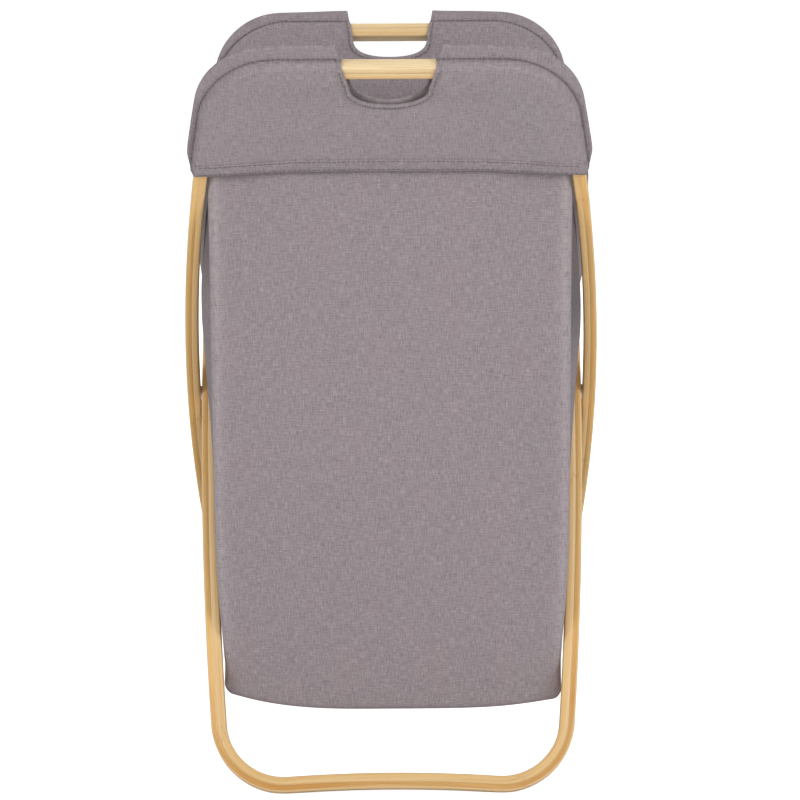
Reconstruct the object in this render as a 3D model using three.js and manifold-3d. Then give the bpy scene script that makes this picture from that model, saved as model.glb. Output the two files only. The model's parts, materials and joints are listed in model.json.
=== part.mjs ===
// Folding X-frame laundry hamper. Two closed loops of bent laminated bamboo cross on one
// pivot line and carry an upright fabric bag. Each loop's top bar sits in a fabric flap with
// a cut-out, so the bar is also the handle.
// Millimetres, +Z up. The origin is on the floor, midway between the two foot bars.
import * as THREE from 'three';
import { mergeVertices } from 'three/addons/utils/BufferGeometryUtils.js';
import Module from 'manifold-3d';

const wasm = await Module();
wasm.setup();

// --- Driving dimensions ---------------------------------------------------------------

// Loops. "Reach" is measured from the pivot line to the outer edge of a bar.
const leanAngle = THREE.MathUtils.degToRad(28);
const stripWidth = 12.2;
const stripThickness = 15;
const stripChamfer = 1.5;
const outerHalfWidth = 193.4;
const outerSideRadius = 1813;
const innerSideRadius = 4000;
const loopCornerRadius = 67.5;
const topReach = 374.6;
const footReach = 376.5;
const footArchRadius = 1400;
const footFlatDepth = 1;

// Pivots
const washerThickness = 0.8;
const faceGap = 0.3;
const washerRadius = 7;
const barrelRadius = 3.6;
const screwRadius = 2.3;
const headRadius = 6.4;
const headThickness = 1.8;
const headRecess = 0.2;
const barrelEndWall = 2.4;
const screwTipGap = 2;
const barrelSetback = 5.4;

// Flaps
const clothThickness = 1.2;
const stripToCloth = 0.4;
const seamSideOffset = 2.6;
const seamTopOffset = 4.4;
const seamSlopeWidth = 1.8;
const seamSlopeDepth = 2.4;
const rimHeight = 17.9;
const rimCornerRadius = 66;
const frontRimSideOffset = 5.5;
const rearRimSideOffset = 7;
const rimHalfThickness = 1.4;
const rimEndHeight = 15;
const flapHeight = 114.6;
const hemArch = 5.5;
const hemBandHeight = 12;
const handleCutTopWidth = 80.5;
const handleCutBottomWidth = 61;
const handleCutDepth = 43.6;
const handleCutCornerRadius = 10;
const bindingWidth = 4;
const bindingSetback = 2.6;

// Bag
const panelThickness = 2;
const bagToStrip = 1.2;
const bagTaper = 1;
const bagCornerRadius = 32;
const bagFloorHeight = 66;
const panelTuck = 4;
const gussetDrop = 3;

// --- Sizes that follow ----------------------------------------------------------------

const legGap = washerThickness + 2 * faceGap;
const halfStrip = stripThickness / 2;
const rimReach = topReach + rimHeight;
const hemReach = topReach - flapHeight;
const rimEnd = hemReach + rimEndHeight;
const handleCutReach = topReach - handleCutDepth;
const bindingTopReach = topReach - bindingSetback;
const outerLoop = { halfWidth: outerHalfWidth, sideRadius: outerSideRadius };
const innerLoop = { halfWidth: outerHalfWidth - stripWidth - legGap, sideRadius: innerSideRadius };
const cos = Math.cos(leanAngle);
const sin = Math.sin(leanAngle);

// --- Materials ------------------------------------------------------------------------

const materialOf = {
  bamboo: { color: 0xdcb47e, roughness: 0.5, metalness: 0 },
  fabric: { color: 0x968c90, roughness: 0.95, metalness: 0 },
  fabricTrim: { color: 0x9a9094, roughness: 0.95, metalness: 0 },
  steel: { color: 0x9b9c9e, roughness: 0.35, metalness: 1 },
  nylon: { color: 0xe8e6e0, roughness: 0.6, metalness: 0 },
};

function piece(name, materialName, geometry) {
  const mesh = new THREE.Mesh(geometry, new THREE.MeshStandardMaterial(materialOf[materialName]));
  mesh.name = name;
  return mesh;
}

// --- Solids ---------------------------------------------------------------------------

function solidOf(geometry) {
  const bare = geometry.clone();
  bare.deleteAttribute('normal');
  bare.deleteAttribute('uv');
  const merged = mergeVertices(bare, 1e-4);
  const vertProperties = new Float32Array(merged.attributes.position.array);
  const triVerts = new Uint32Array(merged.index.array);
  return new wasm.Manifold(new wasm.Mesh({ numProp: 3, vertProperties, triVerts }));
}

function geometryOf(solid) {
  const { vertProperties, triVerts, numProp } = solid.getMesh();
  const positions = new Float32Array((vertProperties.length / numProp) * 3);
  for (let i = 0; i < positions.length / 3; i += 1) {
    positions.set(vertProperties.subarray(i * numProp, i * numProp + 3), i * 3);
  }
  const geometry = new THREE.BufferGeometry();
  geometry.setAttribute('position', new THREE.BufferAttribute(positions, 3));
  geometry.setIndex(new THREE.BufferAttribute(new Uint32Array(triVerts), 1));
  geometry.computeVertexNormals();
  return geometry;
}

// A flat plate of the given outline, from depth `low` to depth `high`.
function plate(shape, low, high) {
  const geometry = new THREE.ExtrudeGeometry(shape, { depth: high - low, bevelEnabled: false });
  return geometry.translate(0, 0, low);
}

// A plate centred on depth 0 whose rim slopes in by slopeWidth over the last slopeDepth.
function slopedPlate(shape, halfThickness, slopeWidth, slopeDepth) {
  const straight = halfThickness - slopeDepth;
  return new THREE.ExtrudeGeometry(shape, {
    depth: 2 * straight,
    bevelThickness: slopeDepth,
    bevelSize: slopeWidth,
    bevelOffset: -slopeWidth,
    bevelSegments: 1,
  }).translate(0, 0, -straight);
}

function rodAlongX(radius, from, to, segments = 24) {
  const rod = new THREE.CylinderGeometry(radius, radius, to - from, segments);
  return rod.rotateZ(Math.PI / 2).translate((from + to) / 2, 0, 0);
}

// Points of an arc, without its last point, so that arcs can follow each other.
function arc(center, radius, from, to, steps) {
  const points = [];
  for (let i = 0; i < steps; i += 1) {
    const angle = from + ((to - from) * i) / steps;
    points.push(new THREE.Vector2(center.x + radius * Math.cos(angle), center.y + radius * Math.sin(angle)));
  }
  return points;
}

function mirrored(points) {
  return points.map((point) => new THREE.Vector2(-point.x, point.y)).reverse();
}

// --- Loop outline ---------------------------------------------------------------------
// In a loop's own plane X is across and Y runs from the pivot line (0) towards the top bar.

function sideCenter(loop) {
  return new THREE.Vector2(loop.halfWidth - loop.sideRadius, 0);
}

// Centre of the corner arc that is tangent to the side arc and to a straight top edge.
function topCornerCenter(loop, sideOffset, reach, radius) {
  const side = sideCenter(loop);
  const rise = reach - radius;
  const run = Math.sqrt((loop.sideRadius + sideOffset - radius) ** 2 - rise ** 2);
  return new THREE.Vector2(side.x + run, rise);
}

function footArchCenter() {
  return new THREE.Vector2(0, -(footReach + footArchRadius));
}

// Centre of the corner arc that is tangent to the side arc and to the arched foot bar.
function footCornerCenter(loop) {
  const side = sideCenter(loop);
  const across = footArchCenter().sub(side);
  const distance = across.length();
  const toSide = loop.sideRadius - loopCornerRadius;
  const toArch = footArchRadius + loopCornerRadius;
  const along = (toSide ** 2 - toArch ** 2 + distance ** 2) / (2 * distance);
  const off = Math.sqrt(toSide ** 2 - along ** 2);
  const unit = across.divideScalar(distance);
  return new THREE.Vector2(side.x + along * unit.x - off * unit.y, along * unit.y + off * unit.x);
}

// Half width of a loop's outer edge at a distance along it from the pivot line.
function halfWidthAt(loop, reach) {
  return sideCenter(loop).x + Math.sqrt(loop.sideRadius ** 2 - reach ** 2);
}

// Half width that clears both loops' inner edges at a distance from the pivot line.
function clearHalfWidth(reach) {
  const narrower = Math.min(halfWidthAt(outerLoop, reach), halfWidthAt(innerLoop, reach));
  return narrower - stripWidth - bagToStrip;
}

// Closed outline of a loop, moved inwards by `inset`.
function loopOutline(loop, inset) {
  const side = sideCenter(loop);
  const top = topCornerCenter(loop, 0, topReach, loopCornerRadius);
  const foot = footCornerCenter(loop);
  const arch = footArchCenter();
  const topAngle = Math.atan2(top.y, top.x - side.x);
  const footAngle = Math.atan2(foot.y, foot.x - side.x);
  const archEnd = Math.atan2(foot.y - arch.y, foot.x - arch.x);
  const corner = loopCornerRadius - inset;
  const rightSide = [
    ...arc(foot, corner, archEnd - Math.PI, footAngle, 8),
    ...arc(side, loop.sideRadius - inset, footAngle, topAngle, 12),
    ...arc(top, corner, topAngle, Math.PI / 2, 8),
    new THREE.Vector2(top.x, topReach - inset),
  ];
  const footBar = arc(arch, footArchRadius + inset, Math.PI - archEnd, archEnd, 10).slice(1);
  return [...rightSide, ...mirrored(rightSide), ...footBar];
}

// --- Loops ----------------------------------------------------------------------------

function tiltOf(sign) {
  const tilt = new THREE.Matrix4().makeRotationX(Math.PI / 2 + sign * leanAngle);
  return tilt.setPosition(0, 0, pivotHeight());
}

// The lowest edge of a leaning foot bar, less the flat sanded on it, stands on the floor.
function pivotHeight() {
  const foot = footCornerCenter(innerLoop);
  const lowestReach = loopCornerRadius - foot.y;
  return lowestReach * cos + halfStrip * sin - stripChamfer * Math.min(sin, cos) - footFlatDepth;
}

function loopSolid(loop, sign) {
  const shape = new THREE.Shape(loopOutline(loop, 0));
  shape.holes.push(new THREE.Path(loopOutline(loop, stripWidth)));
  const ring = solidOf(slopedPlate(shape, halfStrip, stripChamfer, stripChamfer));
  const tilt = tiltOf(sign);
  const floorBlock = new THREE.BoxGeometry(900, 900, 100).translate(0, 0, -50);
  const belowFloor = solidOf(floorBlock.applyMatrix4(tilt.clone().invert()));
  return ring.subtract(belowFloor);
}

// Both legs' bores and the counterbore that takes a flush head, at one face of the leg.
function drillLegs(solid, loop, headFace) {
  const bore = barrelRadius + faceGap;
  const reach = loop.halfWidth + 10;
  const recess = headThickness + headRecess + faceGap;
  const pocketEnd = headFace === 'outside' ? reach : loop.halfWidth - stripWidth - 10;
  const pocketStart = headFace === 'outside'
    ? loop.halfWidth - recess
    : loop.halfWidth - stripWidth + recess;
  const low = Math.min(pocketStart, pocketEnd);
  const high = Math.max(pocketStart, pocketEnd);
  let drilled = solid.subtract(solidOf(rodAlongX(bore, -reach, reach)));
  for (const turn of [0, Math.PI]) {
    const pocket = rodAlongX(headRadius + faceGap, low, high).rotateZ(turn);
    drilled = drilled.subtract(solidOf(pocket));
  }
  return drilled;
}

// --- Pivot hardware, drawn on the right side along +X ---------------------------------

const innerLegInside = innerLoop.halfWidth - stripWidth;
const outerLegOutside = outerLoop.halfWidth;
const barrelEnd = outerLegOutside - barrelSetback;

function revolveAlongX(profile) {
  const points = profile.map(([along, radius]) => new THREE.Vector2(radius, along));
  return new THREE.LatheGeometry(points, 24).rotateZ(-Math.PI / 2);
}

function sleeveNut() {
  const headStart = innerLegInside + headRecess;
  const headEnd = headStart + headThickness;
  const boreStart = headEnd + barrelEndWall;
  return revolveAlongX([
    [headStart, 0],
    [headStart, headRadius],
    [headEnd, headRadius],
    [headEnd, barrelRadius],
    [barrelEnd, barrelRadius],
    [barrelEnd, screwRadius + faceGap],
    [boreStart, screwRadius + faceGap],
    [boreStart, 0],
  ]);
}

function pivotScrew() {
  const headEnd = outerLegOutside - headRecess;
  const headStart = headEnd - headThickness;
  const tip = innerLegInside + headRecess + headThickness + barrelEndWall + screwTipGap;
  return revolveAlongX([
    [tip, 0],
    [tip, screwRadius],
    [headStart, screwRadius],
    [headStart, headRadius],
    [headEnd, headRadius],
    [headEnd, 0],
  ]);
}

function washer() {
  const start = innerLoop.halfWidth + faceGap;
  const bore = barrelRadius + faceGap;
  return revolveAlongX([
    [start, bore],
    [start, washerRadius],
    [start + washerThickness, washerRadius],
    [start + washerThickness, bore],
    [start, bore],
  ]);
}

// --- Flaps ----------------------------------------------------------------------------
// A flap is a cap over a loop's top. Its two layers meet in a flat seam rim outside the
// loop and are open along the hem. Depth is positive away from the bag.

// Outline of a cap over the loop's top, closed far below the hem.
function capShape(loop, sideOffset, reach, radius, bottom) {
  const side = sideCenter(loop);
  const corner = topCornerCenter(loop, sideOffset, reach, radius);
  const topAngle = Math.atan2(corner.y, corner.x - side.x);
  const sideEdge = loop.sideRadius + sideOffset;
  const right = [
    ...arc(side, sideEdge, Math.asin(bottom / sideEdge), topAngle, 5),
    ...arc(corner, radius, topAngle, Math.PI / 2, 8),
    new THREE.Vector2(corner.x, reach),
  ];
  return new THREE.Shape([...right, ...mirrored(right)]);
}

// Region below a hem line that arches up towards the middle.
function belowHemShape(reach) {
  const halfSpan = outerHalfWidth * 1.2;
  const shape = new THREE.Shape();
  shape.moveTo(-halfSpan, 0);
  shape.lineTo(halfSpan, 0);
  shape.lineTo(halfSpan, reach);
  shape.quadraticCurveTo(0, reach + 2 * hemArch, -halfSpan, reach);
  return shape;
}

// Handle cut-out with round lower corners, widened all round by `margin`.
function handleCutShape(margin, topEdge) {
  const slope = (handleCutTopWidth - handleCutBottomWidth) / 2 / (rimReach - handleCutReach);
  const bottom = handleCutReach - margin;
  const halfAt = (reach) => handleCutBottomWidth / 2 + slope * (reach - handleCutReach) + margin;
  const radius = handleCutCornerRadius + margin;
  const shape = new THREE.Shape();
  shape.moveTo(halfAt(topEdge), topEdge);
  shape.lineTo(-halfAt(topEdge), topEdge);
  shape.lineTo(-halfAt(bottom + radius), bottom + radius);
  shape.quadraticCurveTo(-halfAt(bottom), bottom, -halfAt(bottom) + radius, bottom);
  shape.lineTo(halfAt(bottom) - radius, bottom);
  shape.quadraticCurveTo(halfAt(bottom), bottom, halfAt(bottom + radius), bottom + radius);
  return shape;
}

const clothInner = halfStrip + stripToCloth;
const clothOuter = clothInner + clothThickness;
const wideDepth = 3 * stripThickness;
const farBelowHem = hemReach - 60;

function flapShell(loop, rimSideOffset) {
  const skin = slopedPlate(
    capShape(loop, seamSideOffset, topReach + seamTopOffset, loopCornerRadius + seamTopOffset, farBelowHem),
    clothOuter,
    seamSlopeWidth,
    seamSlopeDepth,
  );
  const inside = seamTopOffset - clothThickness;
  const hollow = slopedPlate(
    capShape(loop, seamSideOffset - clothThickness, topReach + inside, loopCornerRadius + inside, farBelowHem - 10),
    clothInner,
    seamSlopeWidth,
    seamSlopeDepth,
  );
  const rim = plate(
    capShape(loop, rimSideOffset, rimReach, rimCornerRadius, rimEnd),
    -rimHalfThickness,
    rimHalfThickness,
  );
  const belowHem = plate(belowHemShape(hemReach), -wideDepth, wideDepth);
  const handleCut = plate(handleCutShape(0, rimReach + 20), -wideDepth, wideDepth);
  return solidOf(skin)
    .add(solidOf(rim))
    .subtract(solidOf(hollow))
    .subtract(solidOf(belowHem))
    .subtract(solidOf(handleCut));
}

// The half of a flap on one side of the seam plane: +1 away from the bag, -1 towards it.
function flapLayer(shell, sign) {
  const block = new THREE.BoxGeometry(900, 1200, wideDepth);
  const kept = solidOf(block.translate(0, 0, sign * (wideDepth / 2 + faceGap / 2)));
  return geometryOf(shell.intersect(kept));
}

function hemBand(loop) {
  const halfSpan = halfWidthAt(loop, hemReach) + seamSideOffset - seamSlopeWidth;
  const strip = new THREE.BoxGeometry(2 * halfSpan, 400, clothThickness);
  const start = clothOuter + faceGap;
  const blank = solidOf(strip.translate(0, hemReach, start + clothThickness / 2));
  const upper = solidOf(plate(belowHemShape(hemReach + hemBandHeight), -wideDepth, wideDepth));
  const lower = solidOf(plate(belowHemShape(hemReach), -wideDepth, wideDepth));
  return geometryOf(blank.intersect(upper).subtract(lower));
}

function handleBinding(sign) {
  const start = clothOuter + faceGap;
  const band = solidOf(plate(handleCutShape(bindingWidth, bindingTopReach), start, start + clothThickness));
  const cut = solidOf(plate(handleCutShape(0, rimReach + 20), -wideDepth, wideDepth));
  const geometry = geometryOf(band.subtract(cut));
  return sign > 0 ? geometry : geometry.rotateY(Math.PI);
}

// --- Bag ------------------------------------------------------------------------------
// The bag hangs upright between the hems. Front, back, two gussets and a base.

const bagTop = pivotHeight() + hemReach * cos;
const bagHalfWidth = clearHalfWidth(hemReach);
const bagHalfDepth = hemReach * sin;
const bagLowHalfWidth = clearHalfWidth((pivotHeight() - bagFloorHeight) / cos) - bagTaper;
const bagCorner = new THREE.Vector2(bagLowHalfWidth - bagCornerRadius, bagFloorHeight + bagCornerRadius);

// Front and back panels: full outline, tucked up into the flap at the top.
function bagPanelShape() {
  const right = [
    ...arc(bagCorner, bagCornerRadius, -Math.PI / 2, 0, 8),
    new THREE.Vector2(bagLowHalfWidth, bagCorner.y),
    new THREE.Vector2(bagHalfWidth, bagTop + panelTuck),
  ];
  return new THREE.Shape([...right, ...mirrored(right)]);
}

function bagPanel() {
  const geometry = plate(bagPanelShape(), 0, panelThickness);
  return geometry.rotateX(Math.PI / 2).translate(0, -bagHalfDepth + panelThickness, 0);
}

// A length of wall seen along Y, running from the front panel to the back panel.
function wallAlongY(shape) {
  const halfDepth = bagHalfDepth - panelThickness - faceGap;
  return plate(shape, -halfDepth, halfDepth).rotateX(Math.PI / 2);
}

function gussetShape() {
  const inner = bagCornerRadius - panelThickness;
  const top = bagTop - gussetDrop;
  const points = [
    ...arc(bagCorner, bagCornerRadius, -Math.PI / 2, 0, 8),
    new THREE.Vector2(bagLowHalfWidth, bagCorner.y),
    new THREE.Vector2(bagHalfWidth, top),
    new THREE.Vector2(bagHalfWidth - panelThickness, top),
    ...arc(bagCorner, inner, 0, -Math.PI / 2, 8),
    new THREE.Vector2(bagCorner.x, bagFloorHeight + panelThickness),
  ];
  return new THREE.Shape(points);
}

function basePanel() {
  const halfWidth = bagCorner.x - faceGap;
  const halfDepth = bagHalfDepth - panelThickness - faceGap;
  const slab = new THREE.BoxGeometry(2 * halfWidth, 2 * halfDepth, panelThickness);
  return slab.translate(0, 0, bagFloorHeight + panelThickness / 2);
}

// --- Assembly -------------------------------------------------------------------------

const hamper = new THREE.Group();

// sign +1 leans the loop's top towards the front (-Y), -1 towards the back.
function loopGroup(sign) {
  const group = new THREE.Group();
  group.rotation.x = Math.PI / 2 + sign * leanAngle;
  group.position.z = pivotHeight();
  hamper.add(group);
  return group;
}

const outerGroup = loopGroup(1);
const innerGroup = loopGroup(-1);
outerGroup.add(piece('outer_frame_loop', 'bamboo', geometryOf(drillLegs(loopSolid(outerLoop, 1), outerLoop, 'outside'))));
innerGroup.add(piece('inner_frame_loop', 'bamboo', geometryOf(drillLegs(loopSolid(innerLoop, -1), innerLoop, 'inside'))));

for (const [side, turn] of [['right', 0], ['left', Math.PI]]) {
  const pivot = new THREE.Group();
  pivot.position.z = pivotHeight();
  pivot.rotation.z = turn;
  pivot.add(piece(`${side}_pivot_screw`, 'steel', pivotScrew()));
  pivot.add(piece(`${side}_pivot_sleeve_nut`, 'steel', sleeveNut()));
  pivot.add(piece(`${side}_pivot_washer`, 'nylon', washer()));
  hamper.add(pivot);
}

// `facing` is +1 where positive depth in the loop's plane points away from the bag.
function addFlap(group, loop, end, rimSideOffset, facing) {
  const flap = new THREE.Group();
  flap.rotation.y = facing > 0 ? 0 : Math.PI;
  const shell = flapShell(loop, rimSideOffset);
  flap.add(piece(`${end}_flap_outer_layer`, 'fabric', flapLayer(shell, 1)));
  flap.add(piece(`${end}_flap_inner_layer`, 'fabric', flapLayer(shell, -1)));
  flap.add(piece(`${end}_flap_hem_band`, 'fabricTrim', hemBand(loop)));
  flap.add(piece(`${end}_handle_outer_binding`, 'fabricTrim', handleBinding(1)));
  flap.add(piece(`${end}_handle_inner_binding`, 'fabricTrim', handleBinding(-1)));
  group.add(flap);
}

addFlap(outerGroup, outerLoop, 'front', frontRimSideOffset, 1);
addFlap(innerGroup, innerLoop, 'rear', rearRimSideOffset, -1);

const rightGusset = wallAlongY(gussetShape());
hamper.add(piece('bag_front_panel', 'fabric', bagPanel()));
hamper.add(piece('bag_back_panel', 'fabric', bagPanel().rotateZ(Math.PI)));
hamper.add(piece('bag_right_gusset', 'fabric', rightGusset));
hamper.add(piece('bag_left_gusset', 'fabric', rightGusset.clone().rotateZ(Math.PI)));
hamper.add(piece('bag_base_panel', 'fabric', basePanel()));

export default hamper;
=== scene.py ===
import json
from math import asin, atan2, cos, exp, hypot, pi, radians, sin, sqrt, tan

import bmesh
import bpy
from mathutils import Matrix, Vector, noise


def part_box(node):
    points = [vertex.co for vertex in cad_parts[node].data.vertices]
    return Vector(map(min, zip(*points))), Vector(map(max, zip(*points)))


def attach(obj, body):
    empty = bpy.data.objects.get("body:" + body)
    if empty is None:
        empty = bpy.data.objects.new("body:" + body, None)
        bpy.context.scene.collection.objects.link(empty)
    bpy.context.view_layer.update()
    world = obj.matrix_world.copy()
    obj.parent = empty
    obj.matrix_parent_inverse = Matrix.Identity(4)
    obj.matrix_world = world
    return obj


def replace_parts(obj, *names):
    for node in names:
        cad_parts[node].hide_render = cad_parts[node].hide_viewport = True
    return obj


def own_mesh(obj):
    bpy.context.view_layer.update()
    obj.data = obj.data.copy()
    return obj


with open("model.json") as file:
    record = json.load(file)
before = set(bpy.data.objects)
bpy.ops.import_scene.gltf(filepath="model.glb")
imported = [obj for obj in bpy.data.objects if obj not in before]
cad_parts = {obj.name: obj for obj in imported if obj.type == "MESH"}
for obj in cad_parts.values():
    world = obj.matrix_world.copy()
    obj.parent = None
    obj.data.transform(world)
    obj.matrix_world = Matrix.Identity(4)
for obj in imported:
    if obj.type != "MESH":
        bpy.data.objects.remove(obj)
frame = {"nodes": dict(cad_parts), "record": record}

# Folding X-frame laundry hamper: two bent bamboo loops, two flaps with handle cut-outs, one bag.
# Everything is in metres, in the frame of the CAD model. A loop's own plane has X across
# and Y from the pivot line to its top bar.

scene = bpy.context.scene
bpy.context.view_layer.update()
joints = {joint["name"]: joint for joint in frame["record"]["behaviour"]["joints"]}
pivot = Vector(joints["outer_frame_fold"]["pos_m"])

loopSizes = dict(
    lean=radians(28), stripThickness=0.015, stripWidth=0.0122, edgeRound=0.0017,
    topReach=0.3746, footReach=0.3765, cornerRadius=0.0675, footArchRadius=1.4,
    plyJoint=0.0061, plyGroove=0.00004, startReach=0.30,
)
lean = loopSizes["lean"]
halfStrip = loopSizes["stripThickness"] / 2
topReach = loopSizes["topReach"]

# the inner loop's strip is wider than the outer's, towards the inside
loops = {
    "outer": dict(node="outer_frame_loop", body="outer_frame", sideRadius=1.813, tilt=1,
                  width=loopSizes["stripWidth"]),
    "inner": dict(node="inner_frame_loop", body="inner_frame", sideRadius=4.0, tilt=-1, width=0.0140),
}
for loop in loops.values():
    loop["halfWidth"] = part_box(loop["node"])[1].x
    loop["matrix"] = Matrix.Translation(pivot) @ Matrix.Rotation(pi / 2 + loop["tilt"] * lean, 4, "X")


def smoothStep(low, high, value):
    t = min(max((value - low) / (high - low), 0.0), 1.0)
    return t * t * (3 - 2 * t)


def mix(a, b, t):
    return a + (b - a) * t


# The camera, the floor and the lights.

studio = dict(
    cameraOffset=(0.0080, -2.6507, 0.5901), pitch=0.22174, roll=radians(-0.3), lens=128.61,
    aim=(0, 0, 0.35), skyStrength=0.26, floorGlow=0.85, floorShade=0.80, floorHalf=12,
)
# each light's place, size, power and colour
lights = dict(
    leftLight=((-2.1, -2.1, 1.70), (1.1, 1.4), 31, (1, 0.99, 0.98)),
    rightLight=((2.1, -2.1, 1.60), (1.1, 1.4), 35, (0.99, 0.99, 1)),
    frontLight=((0.2, -3.0, 0.55), (1.8, 1.2), 11, (1, 1, 1)),
    topLight=((0, -0.1, 2.6), (2.2, 2.2), 12, (1, 1, 1)),
    backLight=((0.6, 2.4, 1.5), (1.6, 1.6), 22, (1, 1, 1)),
)


def makeCamera():
    data = bpy.data.cameras.new("photoCamera")
    data.lens = studio["lens"]
    data.sensor_width = 36
    data.clip_end = 50
    camera = bpy.data.objects.new("photoCamera", data)
    scene.collection.objects.link(camera)
    look = Matrix.Rotation(pi / 2 - studio["pitch"], 4, "X") @ Matrix.Rotation(studio["roll"], 4, "Z")
    camera.matrix_world = Matrix.Translation(pivot + Vector(studio["cameraOffset"])) @ look
    scene.camera = camera


def addAreaLight(name, place, size, power, color):
    data = bpy.data.lights.new(name, "AREA")
    data.shape = "RECTANGLE"
    data.size, data.size_y = size
    data.energy = power
    data.color = color
    lamp = bpy.data.objects.new(name, data)
    scene.collection.objects.link(lamp)
    aim = (Vector(studio["aim"]) - Vector(place)).to_track_quat("-Z", "Y").to_matrix().to_4x4()
    lamp.matrix_world = Matrix.Translation(place) @ aim


# Dim light from all round; the camera sees plain white instead.
def makeWorld():
    world = bpy.data.worlds.new("studioWorld")
    world.use_nodes = True
    tree = world.node_tree
    sky = tree.nodes["Background"]
    sky.inputs["Strength"].default_value = studio["skyStrength"]
    backdrop = addNode(tree, "ShaderNodeBackground", Color=(1, 1, 1, 1), Strength=1.0)
    seen = addNode(tree, "ShaderNodeLightPath").outputs["Is Camera Ray"]
    both = addNode(tree, "ShaderNodeMixShader", i0=seen, i1=sky.outputs[0], i2=backdrop.outputs[0])
    sky.inputs["Color"].default_value = (1, 1, 1, 1)
    tree.links.new(both.outputs[0], tree.nodes["World Output"].inputs["Surface"])
    scene.world = world
    scene.view_settings.view_transform = "Standard"


# Pale floor that glows for the camera, so that only a faint shadow shows.
def makeFloor():
    bm = bmesh.new()
    bmesh.ops.create_grid(bm, x_segments=1, y_segments=1, size=studio["floorHalf"])
    floorMesh = bpy.data.meshes.new("studioFloor")
    bm.to_mesh(floorMesh)
    bm.free()
    floor = bpy.data.objects.new("studioFloor", floorMesh)
    scene.collection.objects.link(floor)
    paint = bpy.data.materials.new("paleFloor")
    tree, shader = newTree(paint)
    shader.inputs["Base Color"].default_value = (studio["floorShade"],) * 3 + (1,)
    shader.inputs["Roughness"].default_value = 0.75
    shader.inputs["Emission Color"].default_value = (1, 1, 1, 1)
    seen = addNode(tree, "ShaderNodeLightPath").outputs["Is Camera Ray"]
    tree.links.new(math(tree, "MULTIPLY", seen, studio["floorGlow"]), shader.inputs["Emission Strength"])
    floorMesh.materials.append(paint)


# Short ways to build shader nodes.

def newTree(material):
    material.use_nodes = True
    tree = material.node_tree
    return tree, tree.nodes["Principled BSDF"]


def addNode(tree, kind, settings=None, **inputs):
    node = tree.nodes.new(kind)
    for key, value in (settings or {}).items():
        setattr(node, key, value)
    for key, value in inputs.items():
        socket = node.inputs[int(key[1:])] if key[0] == "i" and key[1:].isdigit() else node.inputs[key]
        if isinstance(value, bpy.types.NodeSocket):
            tree.links.new(value, socket)
        else:
            socket.default_value = value
    return node


def math(tree, operation, a, b=0.0, c=0.0):
    return addNode(tree, "ShaderNodeMath", dict(operation=operation), i0=a, i1=b, i2=c).outputs[0]


def stretched(tree, vector, scale, detail=2.0, roughness=0.5):
    mapping = addNode(tree, "ShaderNodeMapping", Vector=vector, Scale=scale)
    made = addNode(tree, "ShaderNodeTexNoise", Vector=mapping.outputs[0], Scale=1.0, Detail=detail,
                   Roughness=roughness)
    return made.outputs["Fac"]


def mixColor(tree, factor, a, b):
    node = addNode(tree, "ShaderNodeMix", dict(data_type="RGBA"))
    for index, value in ((0, factor), (6, a), (7, b)):
        if isinstance(value, bpy.types.NodeSocket):
            tree.links.new(value, node.inputs[index])
        else:
            node.inputs[index].default_value = value
    return node.outputs[2]


def ranged(tree, value, low, high, newLow, newHigh):
    node = addNode(tree, "ShaderNodeMapRange", dict(clamp=True), Value=value)
    for key, number in (("From Min", low), ("From Max", high), ("To Min", newLow), ("To Max", newHigh)):
        node.inputs[key].default_value = number
    return node.outputs[0]


def newGroup(name, inputs, outputs):
    group = bpy.data.node_groups.new(name, "ShaderNodeTree")
    for label, kind, value in inputs:
        socket = group.interface.new_socket(label, in_out="INPUT", socket_type=kind)
        if value is not None:
            socket.default_value = value
    for label, kind in outputs:
        group.interface.new_socket(label, in_out="OUTPUT", socket_type=kind)
    return group, group.nodes.new("NodeGroupInput").outputs, group.nodes.new("NodeGroupOutput").inputs


# Plain weave with slubs: crossed threads, thicker runs in both directions and slow colour drift.
# Place is (along the weft, along the warp, 0) in metres.
def makeWeaveGroup():
    group, given, out = newGroup(
        "linenWeave",
        [("Place", "NodeSocketVector", None), ("Pitch", "NodeSocketFloat", 0.0011),
         ("Slub", "NodeSocketFloat", 1.0)],
        [("Shade", "NodeSocketFloat"), ("Tint", "NodeSocketFloat"), ("Height", "NodeSocketFloat")],
    )
    place = given["Place"]
    split = addNode(group, "ShaderNodeSeparateXYZ", Vector=place).outputs
    turns = math(group, "DIVIDE", 2 * pi, given["Pitch"])
    across = math(group, "SINE", math(group, "MULTIPLY", split[0], turns))
    along = math(group, "SINE", math(group, "MULTIPLY", split[1], turns))
    weave = math(group, "MULTIPLY", across, along)
    warpSlub = stretched(group, place, (880, 75, 1), 3.0, 0.6)
    weftSlub = math(group, "MULTIPLY_ADD", stretched(group, place, (60, 860, 1), 3.0, 0.6), 0.65, 0.175)
    warpFine = stretched(group, place, (1250, 160, 1), 1.0)
    weftFine = stretched(group, place, (150, 1150, 1), 1.0)
    coarse = math(group, "ADD", warpSlub, weftSlub)
    fine = math(group, "ADD", warpFine, weftFine)
    centred = math(group, "SUBTRACT", math(group, "ADD", coarse, fine), 2.0)
    threads = math(group, "MULTIPLY", centred, given["Slub"])
    shade = math(group, "ADD", threads, math(group, "MULTIPLY", weave, 0.12))
    group.links.new(shade, out["Shade"])
    group.links.new(stretched(group, place, (26, 14, 1), 2.0), out["Tint"])
    height = math(group, "ADD", math(group, "MULTIPLY", weave, 0.5), math(group, "MULTIPLY", threads, 0.8))
    group.links.new(height, out["Height"])
    return group


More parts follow.
